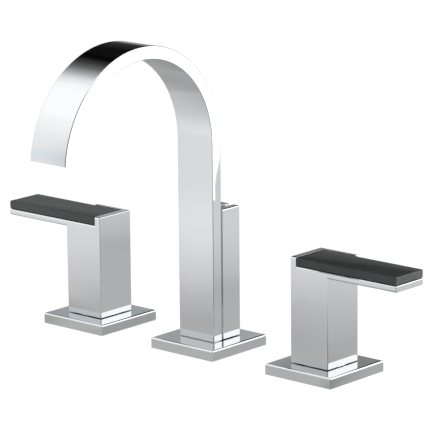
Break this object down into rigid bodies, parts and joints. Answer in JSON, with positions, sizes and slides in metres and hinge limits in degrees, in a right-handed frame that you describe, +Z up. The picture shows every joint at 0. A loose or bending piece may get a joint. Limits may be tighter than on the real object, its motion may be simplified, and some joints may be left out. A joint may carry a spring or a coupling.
{
  "type": "widespread bathroom faucet",
  "caption": "Deck-mounted basin faucet: a flat arched spout with a rear lift knob between two square lever handles that carry dark glass plates.",
  "frame": {"origin": "centre of the spout's plate, on the countertop's upper face", "axes": "+X towards the cold handle, -Y towards the user and the spout's mouth, +Z up"},
  "size_m": [0.3464, 0.1799, 0.3392],
  "materials": {
    "chrome": "polished chrome plate",
    "charcoal_glass": "opaque charcoal glass, polished",
    "foam_tape": "matte foam tape",
    "brass": "machined brass",
    "steel": "plain stainless steel",
    "rubber": "matte black rubber",
    "nylon": "white nylon",
    "ceramic": "lapped ceramic"
  },
  "bodies": {
    "base": {"hot_lower_disc": "ceramic", "hot_cartridge": "brass", "hot_seat_seal": "rubber", "hot_bonnet_nut": "brass", "hot_valve_body": "brass", "hot_plate_nut": "brass", "hot_glide_ring": "nylon", "hot_plate": "chrome", "hot_gasket": "rubber", "hot_deck_washer": "rubber", "hot_deck_nut": "brass", "cold_lower_disc": "ceramic", "cold_cartridge": "brass", "cold_seat_seal": "rubber", "cold_bonnet_nut": "brass", "cold_valve_body": "brass", "cold_plate_nut": "brass", "cold_glide_ring": "nylon", "cold_plate": "chrome", "cold_gasket": "rubber", "cold_deck_washer": "rubber", "cold_deck_nut": "brass", "spout": "chrome", "stream_former": "nylon", "rear_post": "chrome", "rod_bush": "nylon", "spout_foot": "brass", "spout_seal": "rubber", "spout_screw_left": "steel", "spout_screw_right": "steel", "post_screw_left": "steel", "post_screw_right": "steel", "spout_plate": "chrome", "spout_gasket": "rubber", "spout_shank": "brass", "spout_washer": "rubber", "spout_nut": "brass", "spout_tee": "brass", "tee_seal": "rubber"},
    "hot_lever": {"hot_handle": "chrome", "hot_glass_insert": "charcoal_glass", "hot_insert_pad": "foam_tape", "hot_stem_adapter": "brass", "hot_adapter_screw": "steel", "hot_set_screw": "steel", "hot_stem": "brass", "hot_stem_ring": "rubber", "hot_upper_disc": "ceramic"},
    "cold_lever": {"cold_handle": "chrome", "cold_glass_insert": "charcoal_glass", "cold_insert_pad": "foam_tape", "cold_stem_adapter": "brass", "cold_adapter_screw": "steel", "cold_set_screw": "steel", "cold_stem": "brass", "cold_stem_ring": "rubber", "cold_upper_disc": "ceramic"},
    "lift": {"lift_knob": "chrome", "lift_rod": "chrome"}
  },
  "joints": [
    {"name": "hot_turn", "type": "hinge", "parent": "base", "child": "hot_lever", "pos_m": [-0.1016, 0, 0], "axis": [0, 0, 1], "range_deg": [0, 90]},
    {"name": "cold_turn", "type": "hinge", "parent": "base", "child": "cold_lever", "pos_m": [0.1016, 0, 0], "axis": [0, 0, 1], "range_deg": [-90, 0]},
    {"name": "lift_slide", "type": "slide", "parent": "base", "child": "lift", "axis": [0, 0, 1], "range_m": [0, 0.025]}
  ]
}
